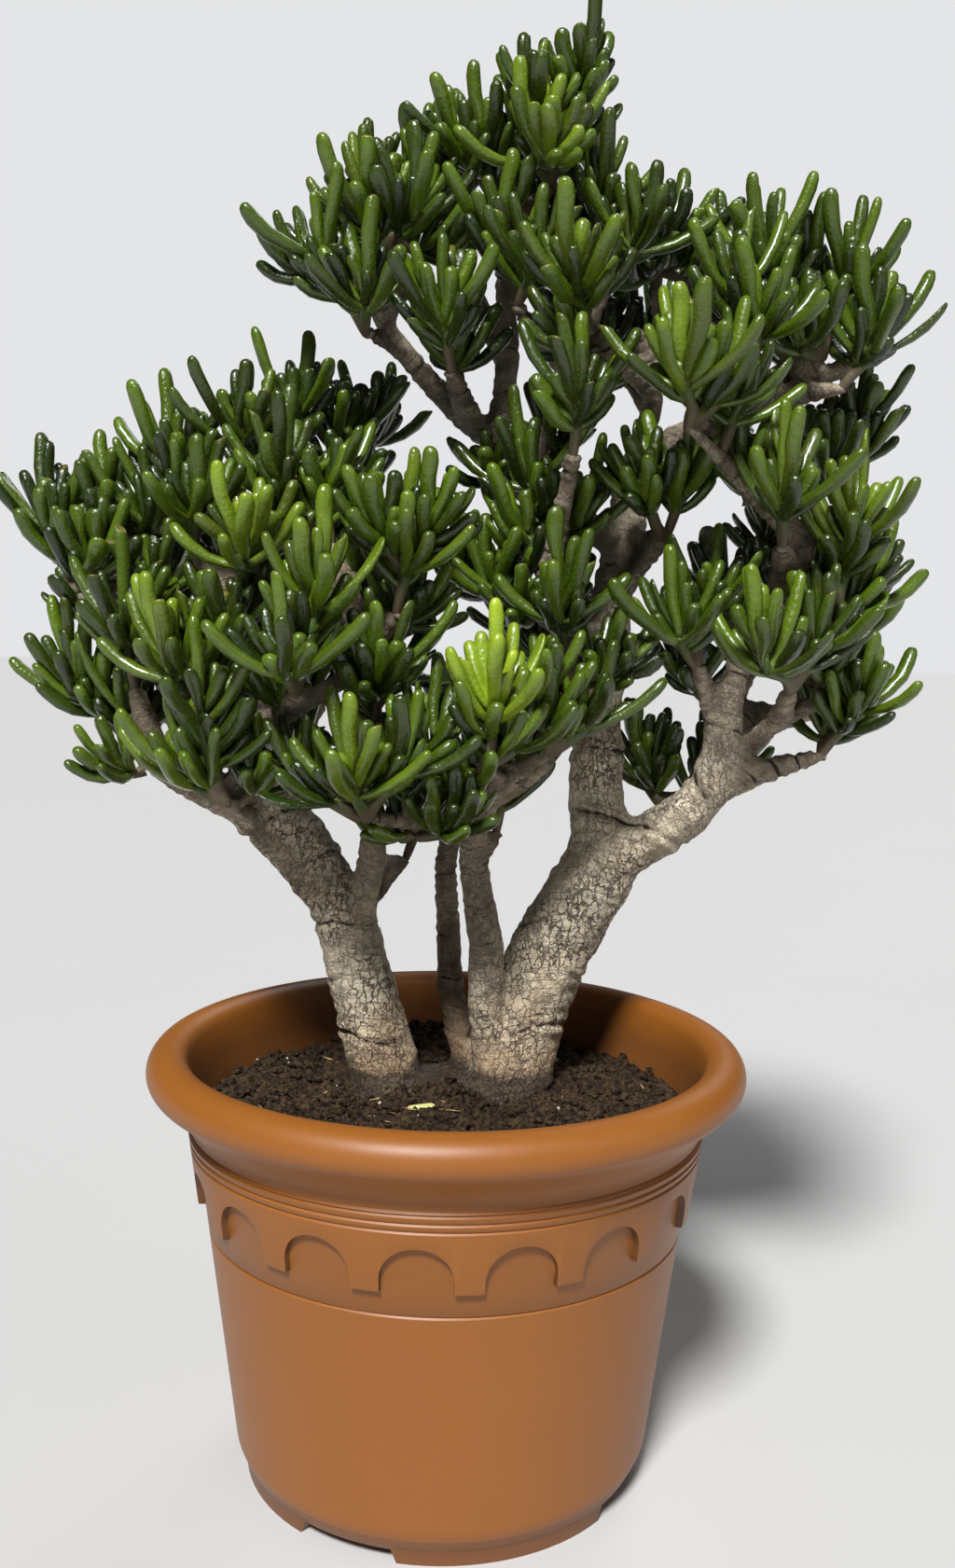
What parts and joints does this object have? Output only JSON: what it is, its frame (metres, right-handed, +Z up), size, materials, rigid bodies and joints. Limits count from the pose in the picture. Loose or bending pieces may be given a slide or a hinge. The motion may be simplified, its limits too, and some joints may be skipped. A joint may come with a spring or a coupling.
{
  "type": "potted jade bonsai",
  "caption": "Finger-leaved jade plant trained as a bonsai, with two bare trunks and a wide leafy crown, rooted in compost in a round moulded pot with a rolled rim.",
  "frame": {"origin": "on the pot's vertical axis, at the level of the floor that its feet stand on", "axes": "+Z up the trunks, +X to the right as seen from the front, +Y away from the front"},
  "size_m": [0.556, 0.35, 0.8332],
  "materials": {
    "pot_plastic": "satin",
    "compost": "matte",
    "bark": "rough",
    "leaf": "glossy",
    "fallen_leaf": "satin"
  },
  "bodies": {
    "root": {"pot": "pot_plastic", "soil": "compost", "wood": "bark", "fallen_leaf": "fallen_leaf", "spray_01": "leaf", "spray_02": "leaf", "spray_03": "leaf", "spray_04": "leaf", "spray_05": "leaf", "spray_06": "leaf", "spray_07": "leaf", "spray_08": "leaf", "spray_09": "leaf", "spray_10": "leaf", "spray_11": "leaf", "spray_12": "leaf", "spray_13": "leaf", "spray_14": "leaf", "spray_15": "leaf", "spray_16": "leaf", "spray_17": "leaf", "spray_18": "leaf", "spray_19": "leaf", "spray_20": "leaf", "spray_21": "leaf", "spray_22": "leaf", "spray_23": "leaf", "spray_24": "leaf", "spray_25": "leaf", "spray_26": "leaf", "spray_27": "leaf", "spray_28": "leaf", "spray_29": "leaf", "spray_30": "leaf", "spray_31": "leaf", "spray_32": "leaf", "spray_33": "leaf", "spray_34": "leaf", "spray_35": "leaf", "spray_36": "leaf", "spray_37": "leaf", "spray_38": "leaf", "spray_39": "leaf", "spray_40": "leaf", "spray_41": "leaf", "spray_42": "leaf", "spray_43": "leaf", "spray_44": "leaf", "spray_45": "leaf", "spray_46": "leaf", "spray_47": "leaf", "spray_48": "leaf", "spray_49": "leaf", "spray_50": "leaf", "spray_51": "leaf", "spray_52": "leaf", "spray_53": "leaf", "spray_54": "leaf", "spray_55": "leaf", "spray_56": "leaf"}
  },
  "joints": []
}
